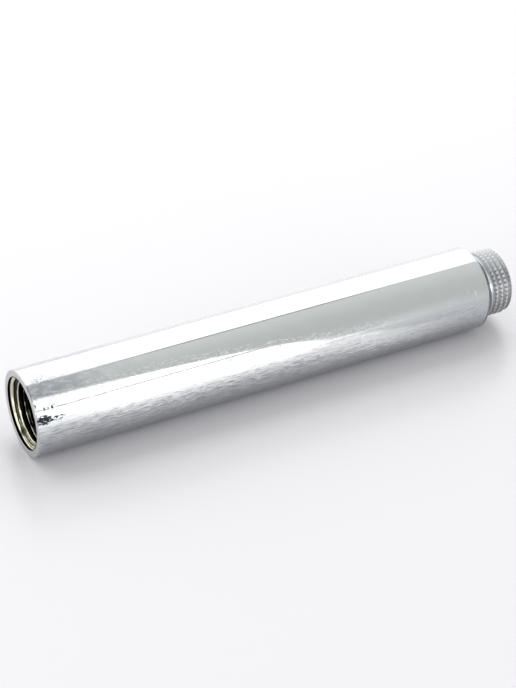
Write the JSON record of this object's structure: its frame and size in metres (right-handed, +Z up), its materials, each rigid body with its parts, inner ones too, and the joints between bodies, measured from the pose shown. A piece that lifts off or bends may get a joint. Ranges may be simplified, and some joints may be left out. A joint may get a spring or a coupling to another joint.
{
  "type": "pipe extension fitting",
  "caption": "Straight round extension pipe for a water line: internally threaded socket with a recessed mouth at one end, smooth polished body, threaded spigot at the other end.",
  "frame": {"origin": "on the surface the pipe lies on, under the middle of its overall length", "axes": "+X along the pipe from the socket's mouth to the spigot's end, +Z up, +Y across the pipe"},
  "size_m": [0.16, 0.026, 0.026],
  "materials": {
    "plated_brass": "polished chrome plate over brass"
  },
  "bodies": {
    "root": {"extension_pipe": "plated_brass"}
  },
  "joints": []
}
